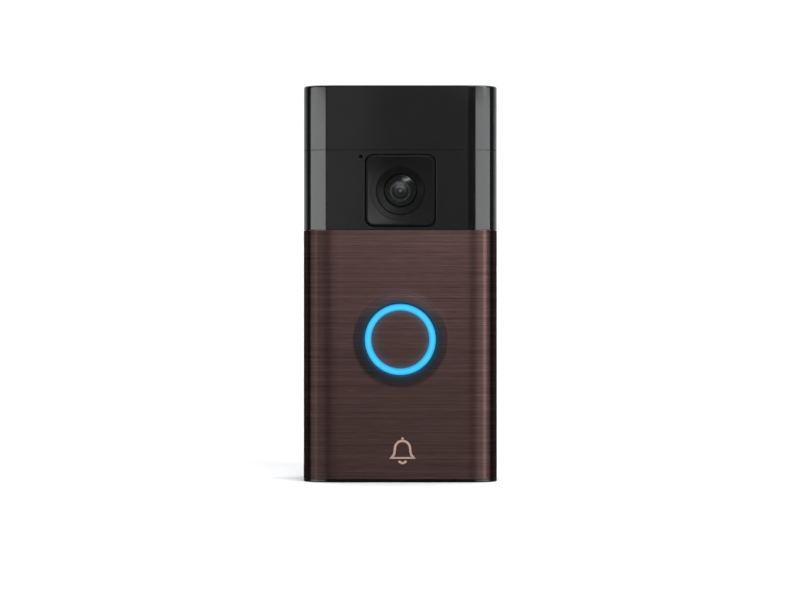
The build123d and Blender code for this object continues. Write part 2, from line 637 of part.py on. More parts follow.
def camera_gasket():
    size = (BEZEL_WIDTH - 2 * BEZEL_GROOVE, BEZEL_HEIGHT - 2 * BEZEL_GROOVE, BEZEL_CORNER)
    cut = (BEZEL_BACK_Y - PAST, HOUSING_FRONT_Y + PAST)
    pad = slab_y(0, CAMERA_Z, *size, BEZEL_BACK_Y, HOUSING_FRONT_Y)
    pad -= rod_y(0, CAMERA_Z, LENS_HOLE_RADIUS, *cut)
    for x, z in ir_led_places():
        pad -= rod_y(x, z, IR_LED_RADIUS + 0.25, *cut)
    return pad


def lens_surround():
    outline = [
        (SURROUND_OUTER, SURROUND_FRONT_Y),
        (SURROUND_OUTER, BEZEL_BACK_Y),
        (SURROUND_OUTER + SURROUND_FLANGE, BEZEL_BACK_Y),
        (SURROUND_OUTER + SURROUND_FLANGE, SURROUND_BACK_Y),
        (SURROUND_INNER, SURROUND_BACK_Y),
        (SURROUND_INNER, SURROUND_CONE_Y),
        (SURROUND_OUTER - SURROUND_RIM, SURROUND_FRONT_Y),
    ]
    return turned_y(CAMERA_Z, outline)


def lens_glass():
    edge = (GLASS_RADIUS, GLASS_EDGE_Y)
    crown = (0, GLASS_CROWN_Y)
    rise = GLASS_EDGE_Y - GLASS_CROWN_Y
    ball = (GLASS_RADIUS**2 + rise**2) / (2 * rise)
    half = GLASS_RADIUS / 2
    between = (half, GLASS_CROWN_Y + ball - (ball**2 - half**2) ** 0.5)
    section = ThreePointArc(crown, between, edge)
    section += Polyline(edge, (GLASS_RADIUS, GLASS_BACK_Y), (0, GLASS_BACK_Y), crown)
    return Pos(0, 0, CAMERA_Z) * revolve(make_face(section), Axis.Y)


def lens_barrel():
    outline = [
        (BARREL_OUTER, BARREL_FRONT_Y),
        (BARREL_OUTER, BARREL_BACK_Y),
        (BARREL_BORE, BARREL_BACK_Y),
        (BARREL_BORE, BARREL_FRONT_Y + BARREL_SHOULDER),
        (BARREL_MOUTH, BARREL_FRONT_Y + BARREL_SHOULDER),
        (BARREL_MOUTH, BARREL_FRONT_Y + BARREL_LIP_DEPTH),
        (BARREL_BORE - 0.2, BARREL_FRONT_Y),
    ]
    return turned_y(CAMERA_Z, outline)


def lens_elements():
    """Two double-convex elements inside the barrel, behind its mouth."""
    elements = []
    for middle_y, ball in ELEMENTS:
        shift = (ball**2 - ELEMENT_RADIUS**2) ** 0.5 - ELEMENT_EDGE / 2
        front = Pos(0, middle_y + shift, CAMERA_Z) * Sphere(ball)
        back = Pos(0, middle_y - shift, CAMERA_Z) * Sphere(ball)
        rim = rod_y(0, CAMERA_Z, ELEMENT_RADIUS, middle_y - 3 * PAST, middle_y + 3 * PAST)
        elements.append(front & back & rim)
    return grouped(elements)


def camera_board():
    board_y = (CAMERA_BOARD_Y, CAMERA_BOARD_Y + CAMERA_BOARD_THICKNESS)
    return slab_y(0, CAMERA_Z, CAMERA_BOARD_SIZE, CAMERA_BOARD_SIZE, 1, *board_y)


def image_sensor():
    sensor_y = (BARREL_BACK_Y + 0.1, CAMERA_BOARD_Y)
    return slab_y(0, CAMERA_Z, SENSOR_WIDTH, SENSOR_HEIGHT, 0.2, *sensor_y)


def lens_seat():
    """Square holder that stands on the camera board and carries the barrel."""
    cut = (BARREL_BACK_Y - PAST, CAMERA_BOARD_Y + PAST)
    seat = slab_y(0, CAMERA_Z, SEAT_SIZE, SEAT_SIZE, 1, BARREL_BACK_Y, CAMERA_BOARD_Y)
    return seat - slab_y(0, CAMERA_Z, SEAT_OPENING, SEAT_OPENING, 0.5, *cut)


def ir_board():
    back_y = IR_BOARD_Y + IR_BOARD_THICKNESS
    board = slab_y(0, CAMERA_Z, IR_BOARD_SIZE, IR_BOARD_SIZE, 2, IR_BOARD_Y, back_y)
    return board - rod_y(0, CAMERA_Z, BARREL_OUTER + 0.6, IR_BOARD_Y - PAST, back_y + PAST)


def ir_leds():
    leds = []
    for x, z in ir_led_places():
        body = rod_y(x, z, IR_LED_RADIUS, IR_LED_TIP_Y, IR_BOARD_Y)
        leds.append(body + Pos(x, IR_LED_TIP_Y, z) * Sphere(IR_LED_RADIUS - 0.1))
    return grouped(leds)


def microphone():
    back_y = HOUSING_INNER_Y + MIC_THICKNESS
    return slab_y(MIC_X, MIC_Z, MIC_WIDTH, MIC_HEIGHT, 0.3, HOUSING_INNER_Y, back_y)


def mic_membrane():
    back_y = HOUSING_FRONT_Y + MEMBRANE_THICKNESS
    return rod_y(MIC_X, MIC_Z, MEMBRANE_RADIUS, HOUSING_FRONT_Y, back_y)


# ================================================================ motion sensing
def motion_sensors():
    sensors = []
    flange = MOTION_SENSOR_RADIUS + MOTION_SENSOR_FLANGE
    front_y = MOTION_BOARD_Y - MOTION_SENSOR_LENGTH
    for x in (-MOTION_SENSOR_X, MOTION_SENSOR_X):
        can = rod_y(x, MOTION_Z, MOTION_SENSOR_RADIUS, front_y, MOTION_BOARD_Y)
        can += rod_y(x, MOTION_Z, flange, MOTION_BOARD_Y - 0.6, MOTION_BOARD_Y)
        can -= slab_y(x, MOTION_Z, 4.0, 3.0, 0.4, front_y - PAST, front_y + 0.2)
        sensors.append(can)
    return grouped(sensors)


def motion_board():
    size = (MOTION_BOARD_WIDTH, MOTION_BOARD_HEIGHT, 1)
    return slab_y(0, MOTION_Z, *size, MOTION_BOARD_Y, MOTION_BOARD_Y + MOTION_BOARD_THICKNESS)


# ================================================================ call button
def button_cap():
    disc = rod_y(0, BUTTON_Z, CAP_RADIUS, CAP_FRONT_Y, CAP_BACK_Y)
    return fillet(disc.faces().sort_by(Axis.Y)[0].edges(), 0.12)


def halo_diffuser():
    outline = [
        (DIFFUSER_INNER, DIFFUSER_FRONT_Y + 0.12),
        (DIFFUSER_INNER + 0.15, DIFFUSER_FRONT_Y),
        (DIFFUSER_OUTER - 0.15, DIFFUSER_FRONT_Y),
        (DIFFUSER_OUTER, DIFFUSER_FRONT_Y + 0.15),
        (DIFFUSER_OUTER, DIFFUSER_BACK_Y),
        (DIFFUSER_INNER, DIFFUSER_BACK_Y),
    ]
    return turned_y(BUTTON_Z, outline)


def button_carrier():
    pusher_end_y = PLUNGER_TIP_Y - PUSHER_GAP
    carrier = rod_y(0, BUTTON_Z, CARRIER_RADIUS, CAP_BACK_Y, CARRIER_BACK_Y)
    carrier += rod_y(0, BUTTON_Z, PUSHER_RADIUS, CARRIER_BACK_Y - 0.2, pusher_end_y)
    head_y = WELL_FLOOR_BACK_Y + 0.1
    for x, z in button_leg_places():
        carrier += rod_y(x, z, LEG_RADIUS, CARRIER_BACK_Y - 0.2, head_y + LEG_HEAD_LENGTH)
        carrier += rod_y(x, z, LEG_HEAD_RADIUS, head_y, head_y + LEG_HEAD_LENGTH)
    return carrier


def button_gasket():
    inner = DIFFUSER_OUTER + 0.35
    return tube_y(0, BUTTON_Z, WELL_RADIUS - 0.05, inner, HOUSING_FRONT_Y + 0.1, WELL_FLOOR_Y)


def button_board():
    board_y = (BUTTON_BOARD_FRONT_Y, BUTTON_BOARD_FRONT_Y + BUTTON_BOARD_THICKNESS)
    board = slab_y(0, BUTTON_Z, BUTTON_BOARD_WIDTH, BUTTON_BOARD_HEIGHT, 2, *board_y)
    cut = (board_y[0] - PAST, board_y[1] + PAST)
    for x, z in button_leg_places():
        board -= rod_y(x, z, LEG_HEAD_RADIUS + 0.4, *cut)
    for x, z in BUTTON_BOARD_SCREWS:
        board -= rod_y(x, z, BOARD_SCREW_RADIUS + SCREW_CLEARANCE, *cut)
    return board


def halo_leds():
    size = (LED_SIZE, LED_SIZE, 0.2)
    led_y = (WELL_FLOOR_BACK_Y, BUTTON_BOARD_FRONT_Y)
    return grouped([slab_y(x, z, *size, *led_y) for x, z in light_places()])


def call_switch():
    size = (SWITCH_SIZE, SWITCH_SIZE, 0.4)
    case = slab_y(0, BUTTON_Z, *size, SWITCH_FRONT_Y, BUTTON_BOARD_FRONT_Y)
    bore_y = (SWITCH_FRONT_Y - PAST, SWITCH_FRONT_Y + SWITCH_BORE)
    return case - rod_y(0, BUTTON_Z, PLUNGER_RADIUS + 0.06, *bore_y)


def call_switch_plunger():
    back_y = SWITCH_FRONT_Y + SWITCH_BORE - PLUNGER_TRAVEL - 0.1
    return rod_y(0, BUTTON_Z, PLUNGER_RADIUS, PLUNGER_TIP_Y, back_y)


# ================================================================ boards and power
def main_board():
    middle_z = (MAIN_BOARD_BOTTOM + MAIN_BOARD_TOP) / 2
    size = (2 * MAIN_BOARD_HALF, MAIN_BOARD_TOP - MAIN_BOARD_BOTTOM, 2)
    board = slab_y(0, middle_z, *size, MAIN_BOARD_Y, MAIN_BOARD_BACK_Y)
    cut = (MAIN_BOARD_Y - PAST, MAIN_BOARD_BACK_Y + PAST)
    for x, z in MAIN_BOARD_SCREWS:
        board -= rod_y(x, z, BOARD_SCREW_RADIUS + SCREW_CLEARANCE, *cut)
    for x, z in case_screw_places():
        board -= rod_y(x, z, CASE_SCREW_HEAD + 0.8, *cut)
    return board


def shield_can():
    lid_y = MAIN_BOARD_BACK_Y + SHIELD_DEPTH
    inner = (SHIELD_WIDTH - 2 * SHIELD_SHEET, SHIELD_HEIGHT - 2 * SHIELD_SHEET, 0.6)
    can = slab_y(0, SHIELD_Z, SHIELD_WIDTH, SHIELD_HEIGHT, 0.8, MAIN_BOARD_BACK_Y, lid_y)
    return can - slab_y(0, SHIELD_Z, *inner, MAIN_BOARD_BACK_Y - PAST, lid_y - SHIELD_SHEET)


def board_chips():
    """Processor and radio under the shield, power chip and memory on the board's rear side."""
    chip_y = (MAIN_BOARD_BACK_Y, MAIN_BOARD_BACK_Y + CHIP_THICKNESS)
    return grouped([slab_y(x, BOTTOM + up, wide, tall, 0.2, *chip_y) for x, up, wide, tall in CHIPS])


def wifi_antenna():
    strip_z = (HOUSING_ROOF - 0.5, HOUSING_ROOF - 0.1)
    strip = box_between((-ANTENNA_HALF, ANTENNA_HALF), ANTENNA_Y, strip_z)
    slit_x = (4 - ANTENNA_HALF, ANTENNA_HALF + PAST)
    return strip - box_between(slit_x, ANTENNA_SLIT_Y, (HOUSING_ROOF - PAST, HOUSING_ROOF + PAST))


def battery_cell():
    middle_z = (BATTERY_BOTTOM + BATTERY_TOP) / 2
    height = BATTERY_TOP - BATTERY_BOTTOM
    cell = slab_y(0, middle_z, 2 * BATTERY_HALF, height, 3, BATTERY_FRONT_Y, BATTERY_BACK_Y)
    ends = cell.faces().sort_by(Axis.Y)
    return fillet(ends[0].edges() + ends[-1].edges(), 1.0)


def battery_pad():
    middle_z = (BATTERY_BOTTOM + BATTERY_TOP) / 2
    size = (BATTERY_PAD_WIDTH, BATTERY_PAD_HEIGHT, 2)
    return slab_y(0, middle_z, *size, BATTERY_BACK_Y, RECESS_INNER_Y)


def battery_connector():
    width = (BATTERY_LEAD_PLACES[0] - 1.6, BATTERY_LEAD_PLACES[1] + 1.6)
    depth = (MAIN_BOARD_Y - CONNECTOR_DEPTH, MAIN_BOARD_Y)
    return box_between(width, depth, (MAIN_BOARD_BOTTOM + 0.5, MAIN_BOARD_BOTTOM + 4.5))


def battery_leads():
    lead_y = MAIN_BOARD_Y - CONNECTOR_DEPTH / 2
    lead = (lead_y, BATTERY_LEAD_RADIUS, BATTERY_TOP, MAIN_BOARD_BOTTOM + 0.5)
    return grouped([rod_z(x, *lead) for x in BATTERY_LEAD_PLACES])


def usb_port():
    inner = (USB_WIDTH - 2 * USB_SHELL, USB_HEIGHT - 2 * USB_SHELL, 0.8)
    back_y = RECESS_FLOOR_Y - 5.6
    shell = slab_y(USB_X, USB_Z, USB_WIDTH, USB_HEIGHT, 1.1, MAIN_BOARD_BACK_Y, RECESS_FLOOR_Y - 0.1)
    shell -= slab_y(USB_X, USB_Z, *inner, back_y, RECESS_FLOOR_Y + PAST)
    return shell + slab_y(USB_X, USB_Z, 5.4, 0.7, 0.2, back_y - 0.2, RECESS_FLOOR_Y - 0.8)


def setup_switch():
    size = (SETUP_SWITCH_SIZE, SETUP_SWITCH_SIZE, 0.4)
    bore_y = (SETUP_SWITCH_BACK_Y - 0.9, SETUP_SWITCH_BACK_Y + PAST)
    case = slab_y(SETUP_X, SETUP_Z, *size, MAIN_BOARD_BACK_Y, SETUP_SWITCH_BACK_Y)
    return case - rod_y(SETUP_X, SETUP_Z, SETUP_PLUNGER_RADIUS + 0.06, *bore_y)


def setup_switch_plunger():
    plunger_y = (SETUP_SWITCH_BACK_Y - 0.55, SETUP_PLUNGER_TIP_Y)
    return rod_y(SETUP_X, SETUP_Z, SETUP_PLUNGER_RADIUS, *plunger_y)


def setup_button():
    flange_y = (RECESS_INNER_Y - 1.1, RECESS_INNER_Y - 0.3)
    button = rod_y(SETUP_X, SETUP_Z, SETUP_CAP_RADIUS, flange_y[0], RECESS_FLOOR_Y + 0.3)
    button = fillet(button.faces().sort_by(Axis.Y)[-1].edges(), 0.3)
    button += rod_y(SETUP_X, SETUP_Z, SETUP_CAP_RADIUS + 0.8, *flange_y)
    stem_y = (SETUP_PLUNGER_TIP_Y + SETUP_STEM_GAP, flange_y[0] + 0.2)
    return button + rod_y(SETUP_X, SETUP_Z, 0.95, *stem_y)


def terminal_plates():
    plates = []
    front_y = TERMINAL_POCKET_FLOOR_Y + TERMINAL_PLATE_THICKNESS
    hole = TERMINAL_SCREW_RADIUS + SCREW_CLEARANCE
    for x in (-TERMINAL_X, TERMINAL_X):
        plate = slab_y(x, TERMINAL_Z, 9.0, 8.4, 0.6, TERMINAL_POCKET_FLOOR_Y, front_y)
        plates.append(plate - rod_y(x, TERMINAL_Z, hole, TERMINAL_POCKET_FLOOR_Y - PAST, RECESS_FLOOR_Y))
    return grouped(plates)


def terminal_screws():
    screws = []
    seat_y = TERMINAL_POCKET_FLOOR_Y + TERMINAL_PLATE_THICKNESS
    shank_y = (TERMINAL_POCKET_INNER_Y - 0.5, seat_y + 0.2)
    for x in (-TERMINAL_X, TERMINAL_X):
        screw = rod_y(x, TERMINAL_Z, TERMINAL_SCREW_HEAD, seat_y, seat_y + 1.3)
        screw += rod_y(x, TERMINAL_Z, TERMINAL_SCREW_RADIUS, *shank_y)
        screw -= cross_slot(x, TERMINAL_Z, 3.4, 0.7, seat_y + 0.6, seat_y + 2)
        screws.append(screw)
    return grouped(screws)


# ================================================================ sound
def speaker():
    case = speaker_block(0, SPEAKER_FOOT, SPEAKER_TOP)
    return case - speaker_block(SPEAKER_WALL, SPEAKER_FOOT - PAST, SPEAKER_FOOT + 2)


def speaker_cone():
    outline = RectangleRounded(31.6, 7.6, 3.5)
    cone = Pos(0, SPEAKER_MIDDLE_Y, CONE_Z) * extrude(outline, amount=CONE_THICKNESS)
    return cone + Pos(0, SPEAKER_MIDDLE_Y, 0) * low_dome(2.8, CONE_Z, 0.5)


def speaker_block(inset, z_low, z_high):
    """Block over the speaker's outline, drawn in by the inset on every side."""
    half = SPEAKER_HALF - inset
    depth = (SPEAKER_FRONT_Y + inset, SPEAKER_BACK_Y - inset)
    return box_between((-half, half), depth, (z_low, z_high))


def low_dome(radius, z, rise):
    """Low dome below height z, its edge in that plane."""
    ball = (radius**2 + rise**2) / (2 * rise)
    cap = Pos(0, 0, z - rise + ball) * Sphere(ball)
    return cap & Pos(0, 0, z - rise / 2 + 0.05) * Cylinder(radius, rise + 0.1)


def speaker_gasket():
    ring = speaker_block(0, HOUSING_FLOOR, SPEAKER_FOOT)
    return ring - speaker_block(SPEAKER_WALL, HOUSING_FLOOR - PAST, SPEAKER_FOOT + PAST)


# ================================================================ flexible strips
def camera_flex():
    depth = (CAMERA_BOARD_Y + CAMERA_BOARD_THICKNESS, MAIN_BOARD_Y)
    low_z = CAMERA_Z - 7.6
    return box_between((-FLEX_HALF, FLEX_HALF), depth, (low_z, low_z + FLEX_THICKNESS))


def button_flex():
    back_y = BUTTON_BOARD_FRONT_Y + BUTTON_BOARD_THICKNESS
    turn_z = BATTERY_TOP + 2.4
    top_z = turn_z + FLEX_THICKNESS
    far_y = MAIN_BOARD_Y - FLEX_THICKNESS
    width = (-FLEX_HALF, FLEX_HALF)
    upright = box_between(width, (back_y, back_y + FLEX_THICKNESS), (BUTTON_Z + 9.0, top_z))
    level = box_between(width, (back_y, far_y), (turn_z, top_z))
    return upright + level + box_between(width, (far_y, MAIN_BOARD_Y), (turn_z, MAIN_BOARD_BOTTOM + 4.0))


# ================================================================ screws
def cross_slot(x, z, length, width, y_low, y_high):
    """Cross-shaped driver recess."""
    middle = Pos(x, (y_low + y_high) / 2, z)
    depth = y_high - y_low
    return middle * Box(length, depth, width) + middle * Box(width, depth, length)


def case_screws():
    screws = []
    for x, z in case_screw_places():
        head_end_y = CASE_SCREW_SEAT_Y + CASE_SCREW_HEAD_LENGTH
        screw = rod_y(x, z, CASE_SCREW_HEAD, CASE_SCREW_SEAT_Y, head_end_y)
        screw = fillet(screw.faces().sort_by(Axis.Y)[-1].edges(), 0.5)
        screw += rod_y(x, z, CASE_SCREW_RADIUS, CASE_SCREW_END_Y, CASE_SCREW_SEAT_Y + 0.2)
        screws.append(screw - cross_slot(x, z, 2.6, 0.6, head_end_y - 0.8, head_end_y + PAST))
    return grouped(screws)


def board_screws():
    screws = []
    seats = [(x, z, MAIN_BOARD_BACK_Y) for x, z in MAIN_BOARD_SCREWS]
    button_seat_y = BUTTON_BOARD_FRONT_Y + BUTTON_BOARD_THICKNESS
    seats += [(x, z, button_seat_y) for x, z in BUTTON_BOARD_SCREWS]
    for x, z, seat_y in seats:
        head_end_y = seat_y + BOARD_SCREW_HEAD_LENGTH
        screw = rod_y(x, z, BOARD_SCREW_HEAD, seat_y, head_end_y)
        screw += rod_y(x, z, BOARD_SCREW_RADIUS, seat_y - BOARD_SCREW_LENGTH, seat_y + 0.2)
        screws.append(screw - cross_slot(x, z, 2.0, 0.5, head_end_y - 0.4, head_end_y + PAST))
    return grouped(screws)


def security_screws():
    """Two headless screws in the bottom wall, backed out flush so the doorbell can lift."""
    screws = []
    low = BOTTOM + REAR_INSET + 0.2
    for x in (-SECURITY_SCREW_X, SECURITY_SCREW_X):
        screw = rod_z(x, SECURITY_SCREW_Y, SECURITY_SCREW_RADIUS, low, low + SECURITY_SCREW_LENGTH)
        hexagon = RegularPolygon(SECURITY_SOCKET_RADIUS, 6)
        socket = Pos(x, SECURITY_SCREW_Y, low) * extrude(hexagon, amount=1.6)
        screws.append(screw - socket)
    return grouped(screws)


NODES = [
    mounting_bracket, rear_housing, front_housing, camera_cover, motion_window, housing_gasket,
    rating_label, faceplate, button_cap, halo_diffuser, button_carrier, button_gasket, button_board,
    halo_leds, call_switch, call_switch_plunger, camera_bezel, camera_gasket, lens_surround,
    lens_glass, lens_barrel, lens_elements, lens_seat, image_sensor, camera_board, ir_board, ir_leds,
    microphone, mic_membrane, motion_sensors, motion_board, main_board, shield_can, board_chips,
    wifi_antenna, battery_cell, battery_pad, battery_connector, battery_leads, usb_port,
    setup_switch, setup_switch_plunger, setup_button, terminal_plates, terminal_screws, speaker,
    speaker_cone, speaker_gasket, camera_flex, button_flex, case_screws, board_screws,
    security_screws,
]

os.makedirs("parts", exist_ok=True)
for node in NODES:
    export_step(node(), f"parts/{node.__name__}.step")
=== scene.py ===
from math import cos, pi, radians, sin, tan

import bmesh
import bpy
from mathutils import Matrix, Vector
from mathutils.geometry import interpolate_bezier


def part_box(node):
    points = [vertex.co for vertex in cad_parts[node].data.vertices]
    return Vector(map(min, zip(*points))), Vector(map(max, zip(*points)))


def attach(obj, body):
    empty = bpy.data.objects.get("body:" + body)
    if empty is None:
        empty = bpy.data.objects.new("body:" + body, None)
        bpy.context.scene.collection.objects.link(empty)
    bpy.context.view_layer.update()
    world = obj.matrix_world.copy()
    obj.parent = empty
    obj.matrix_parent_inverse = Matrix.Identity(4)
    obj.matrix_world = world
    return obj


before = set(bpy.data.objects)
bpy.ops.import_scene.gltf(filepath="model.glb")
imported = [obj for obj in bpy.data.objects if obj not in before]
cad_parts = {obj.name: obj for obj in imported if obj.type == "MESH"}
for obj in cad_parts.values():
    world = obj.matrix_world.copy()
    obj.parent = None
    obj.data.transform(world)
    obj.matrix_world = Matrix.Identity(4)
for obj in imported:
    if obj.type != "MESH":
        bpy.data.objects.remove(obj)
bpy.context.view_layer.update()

# Looks and studio of the video doorbell. Sizes are in metres and turns in degrees unless stated.
MM = 0.001

# ---------------------------------------------------------------- places read from the frame
plate_low, plate_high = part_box("faceplate")
cap_low, cap_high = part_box("button_cap")
halo_low, halo_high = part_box("halo_diffuser")
glass_low, glass_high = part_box("lens_glass")
cover_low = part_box("camera_cover")[0]
surround_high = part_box("lens_surround")[1]
lip_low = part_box("front_housing")[0]

FRONT_Y = cover_low[1]
FLOOR_Z = lip_low[2]
BUTTON_Z = (halo_low[2] + halo_high[2]) / 2
HALO_OUTER = (halo_high[0] - halo_low[0]) / 2
CAP_RADIUS = (cap_high[0] - cap_low[0]) / 2
COLLAR_FOOT = HALO_OUTER + 3.9 * MM
FLANK_FROM = plate_high[0] - 2.2 * MM
FLANK_TO = plate_high[0] - 0.8 * MM
CAMERA_Z = (glass_low[2] + glass_high[2]) / 2
GLASS_RADIUS = (glass_high[0] - glass_low[0]) / 2
CLEAR_RADIUS = 0.9 * GLASS_RADIUS
BLACK_RADIUS = 0.93 * GLASS_RADIUS
CONE_INNER = GLASS_RADIUS + 0.1 * MM
CONE_OUTER = surround_high[0] - 0.4 * MM
LENS_MOUTH = 3.1 * MM

# ---------------------------------------------------------------- view and light
CAMERA_DISTANCE = 750 * MM
CAMERA_X = -0.1 * MM
# Film and lens of the view in millimetres, and the lens shift as a share of the film's width.
SENSOR_WIDTH = 36.0
LENS_LENGTH = 106.1
LENS_SHIFT = -0.0203
STUDIO_HALF = 3.0
STUDIO_BACK = 0.7
STUDIO_BEND = 0.35
BEND_STEPS = 16
STUDIO_FRONT = -2.4
STUDIO_TOP = 2.2
LIGHT_COLOUR = (0.975, 0.987, 1.0)
# The air round the doorbell: dark in reflections and shading, pale to the camera.
AIR_DARK = (0.06, 0.06, 0.06, 1)
AIR_PALE = (1.0, 1.0, 1.0, 1)
# Each soft panel: bearings to the right of the front and heights in degrees, metres away, radiance.
SOFT_PANELS = {
    "soft_left": ((-76, -20), (-6.6, 6.9), 2.2, 4.1),
    "soft_right": ((21, 76), (-6.6, 6.9), 2.2, 4.1),
    "soft_left_high": ((-50, -34), (9, 22), 1.0, 3.5),
    "soft_right_high": ((35, 54), (9, 50), 1.0, 8.8),
    "fill_left": ((-18, -1), (-5.5, 22), 1.9, 0.46),
    "fill_right": ((-1, 10), (-5.5, 22), 1.9, 0.22),
    "key_right": ((2, 14), (8, 17), 1.9, 2.6),
    "lens_glint": ((18, 42), (42, 50), 1.3, 8.0),
    "window_glow": ((4.5, 16), (-1, 14), 1.9, 1.7),
    "soft_top": ((-15, 14), (24, 44), 0.33, 7.7),
}

# ---------------------------------------------------------------- colours and finishes
BRONZE_DARK = (0.056, 0.033, 0.03, 1)
BRONZE = (0.076, 0.045, 0.041, 1)
BRONZE_PALE = (0.102, 0.062, 0.057, 1)
# Multiplies the bronze at the sides of the plate as a painted reflection tint, and tints its mirror at
# grazing angles.
BRONZE_FLANK_REFLECTION_TINT = (0.9, 1.2, 1.25, 1)
BRONZE_GRAZING = (0.35, 0.32, 0.32, 1)
# Each set of brush lines: scale per metre along X, Y and Z, detail, roughness and share.
BRUSH_LINES = (
    ((8.0, 8.0, 2100.0), 3.0, 0.65, 0.45),
    ((45.0, 45.0, 5200.0), 3.0, 0.7, 0.3),
    ((150.0, 150.0, 3100.0), 2.0, 0.6, 0.25),
)
# Greys of the painted shade on the collar: share of the way from the halo to the foot, and grey.
COLLAR_SHADE_GREYS = ((0.0, 0.16), (0.35, 0.5), (0.7, 0.78), (0.88, 0.74), (1.0, 1.0))
# Painted glow: the halo's blue light painted on the metal as emission, and how far it reaches on the
# plate and on the cap.
HALO_GLOW = (0.05, 0.5, 0.9, 1)
HALO_GLOW_STRENGTH = 0.12
PLATE_GLOW_REACH = 1.1 * MM
CAP_GLOW_REACH = 0.9 * MM
# Painted shade: near-black lines at the inner and outer edges of the cone round the lens.
CONE_EDGE_SHADE = (0.0008, 0.0008, 0.0008, 1)
CONE_RIB_PITCH = 0.28 * MM
GLASS_SMOKED = (0.006, 0.0066, 0.0068, 1)
GLASS_BLACKED = (0.0002, 0.0002, 0.0002, 1)
GLASS_COVERAGE = 0.35
BARREL_BLACK = (0.0015, 0.0015, 0.0016, 1)

# ---------------------------------------------------------------- bell mark
BELL_X = 0.7 * MM
BELL_Z = plate_low[2] + 9.1 * MM
BELL_STROKE = 0.72 * MM
BELL_DEPTH = 0.06 * MM
BELL_PROUD = BELL_DEPTH / 3
CORNER_LIMIT = 0.5
# The drawing itself: (x, z) in millimetres from its middle, and turns in degrees.
BELL_LOWER_SIDE = ((-3.6, -2.3), (-2.6, -1.4), (-2.5, -0.6), (-2.45, 0.5))
BELL_UPPER_SIDE = ((-2.45, 0.5), (-2.35, 2.3), (-1.2, 3.1), (0.0, 3.1))
BELL_STUB = ((0.0, 3.3), (0.0, 4.2))
CLAPPER_RADIUS = 1.25
CLAPPER_Z = -2.7
CLAPPER_FROM = 205
CLAPPER_SWEEP = 130
CLAPPER_STEPS = 12


# ================================================================ node helpers
def new_material(name):
    """A material with only its principled shader and output: returns the material, tree and shader."""
    material = bpy.data.materials.new(name)
    material.use_nodes = True
    tree = material.node_tree
    return material, tree, tree.nodes["Principled BSDF"]


def add_node(tree, kind, **settings):
    node = tree.nodes.new(kind)
    for key, value in settings.items():
        setattr(node, key, value)
    return node


def feed(tree, socket, source):
    """Gives a socket another socket's output, or a plain value."""
    if isinstance(source, bpy.types.NodeSocket):
        tree.links.new(source, socket)
    else:
        socket.default_value = source


def maths(tree, operation, first, second=0.0):
    node = add_node(tree, "ShaderNodeMath", operation=operation)
    feed(tree, node.inputs[0], first)
    feed(tree, node.inputs[1], second)
    return node.outputs[0]


def rescaled(tree, value, low, high, new_low, new_high):
    node = add_node(tree, "ShaderNodeMapRange")
    for socket, number in zip(node.inputs, (value, low, high, new_low, new_high)):
        feed(tree, socket, number)
    return node.outputs[0]


def mixed(tree, factor, first, second, blend="MIX"):
    node = add_node(tree, "ShaderNodeMix", data_type="RGBA", blend_type=blend)
    feed(tree, node.inputs[0], factor)
    feed(tree, node.inputs[6], first)
    feed(tree, node.inputs[7], second)
    return node.outputs[2]


def place(tree):
    """Position in the object's own frame, in metres."""
    return add_node(tree, "ShaderNodeTexCoord").outputs["Object"]


def grain(tree, scale, detail=2.0, roughness=0.5, distortion=0.0):
    """Noise whose scale, per metre, can differ along X, Y and Z."""
    mapping = add_node(tree, "ShaderNodeMapping")
    feed(tree, mapping.inputs["Vector"], place(tree))
    mapping.inputs["Scale"].default_value = scale if isinstance(scale, tuple) else (scale,) * 3
    noise = add_node(tree, "ShaderNodeTexNoise")
    feed(tree, noise.inputs["Vector"], mapping.outputs[0])
    noise.inputs["Scale"].default_value = 1.0
    noise.inputs["Detail"].default_value = detail
    noise.inputs["Roughness"].default_value = roughness
    noise.inputs["Distortion"].default_value = distortion
    return noise.outputs[0]


def bumped(tree, shader, height, distance, strength):
    """Relief of a distance in metres, from a height between 0 and 1."""
    bump = add_node(tree, "ShaderNodeBump")
    bump.inputs["Strength"].default_value = strength
    bump.inputs["Distance"].default_value = distance
    feed(tree, bump.inputs["Height"], height)
    feed(tree, shader.inputs["Normal"], bump.outputs[0])


def radius_from(tree, x, z):
    """Distance from the Y line through x and z."""
    parts = add_node(tree, "ShaderNodeSeparateXYZ")
    feed(tree, parts.inputs[0], place(tree))
    across = maths(tree, "SUBTRACT", parts.outputs[0], x)
    up = maths(tree, "SUBTRACT", parts.outputs[2], z)
    across_square = maths(tree, "MULTIPLY", across, across)
    up_square = maths(tree, "MULTIPLY", up, up)
    return maths(tree, "SQRT", maths(tree, "ADD", across_square, up_square))


def sideways(tree):
    """Distance to the right of the doorbell's middle."""
    parts = add_node(tree, "ShaderNodeSeparateXYZ")
    feed(tree, parts.inputs[0], place(tree))
    return parts.outputs[0]


def ramp(tree, value, stops):
    """Colour ramp: stops are (position, colour)."""
    node = add_node(tree, "ShaderNodeValToRGB")
    elements = node.color_ramp.elements
    elements[0].position, elements[0].color = stops[0]
    elements[1].position, elements[1].color = stops[-1]
    for position, colour in stops[1:-1]:
        elements.new(position).color = colour
    feed(tree, node.inputs[0], value)
    return node.outputs[0]


def rgb(red, green, blue):
    """Linear colour from 0-255 display values."""
    shares = [c / 255 for c in (red, green, blue)]
    return tuple(c / 12.92 if c <= 0.04045 else ((c + 0.055) / 1.055) ** 2.4 for c in shares) + (1.0,)


def toned(colour, share):
    """A colour with its brightness multiplied, and full alpha."""
    return tuple(part * share for part in colour) + (1,)


def vary_roughness(tree, shader, noise, low, high):
    """Roughness that wanders with a noise, between about low and high."""
    feed(tree, shader.inputs["Roughness"], rescaled(tree, noise, 0.3, 0.7, low, high))


